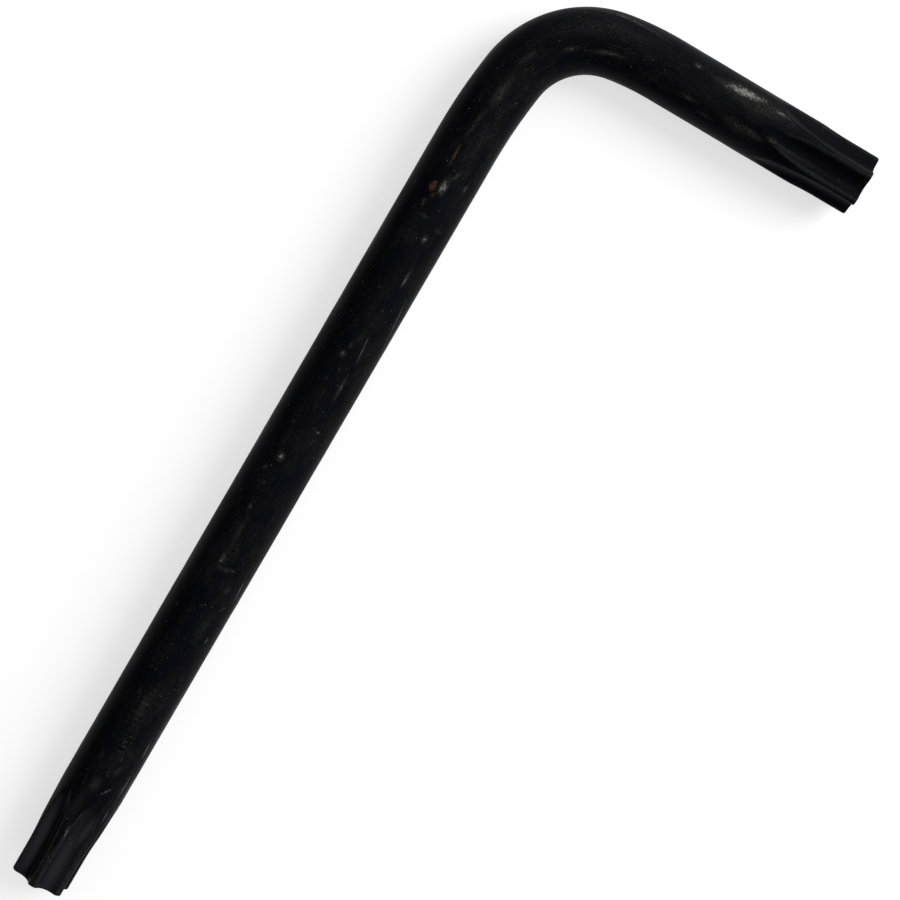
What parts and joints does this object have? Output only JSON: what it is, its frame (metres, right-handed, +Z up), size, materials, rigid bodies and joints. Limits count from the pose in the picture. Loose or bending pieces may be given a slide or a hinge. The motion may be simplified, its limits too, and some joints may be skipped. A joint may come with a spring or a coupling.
{
  "type": "star-drive key",
  "caption": "L-shaped star-drive key: one round steel bar bent square, with a six-lobed star formed on each end.",
  "frame": {"origin": "under the middle of the key's bounding box, at the level of its underside, as it lies on its side", "axes": "+X points along the long arm towards its end, +Y along the short arm towards its end, +Z up, square to the plane of the L"},
  "size_m": [0.0914, 0.0338, 0.0057],
  "materials": {
    "blackened_steel": "black oxide, satin, mottled and lightly oiled, with dull pale scuffs, small rust spots and thin bright edges on the stars"
  },
  "bodies": {
    "root": {"star_key": "blackened_steel"}
  },
  "joints": []
}
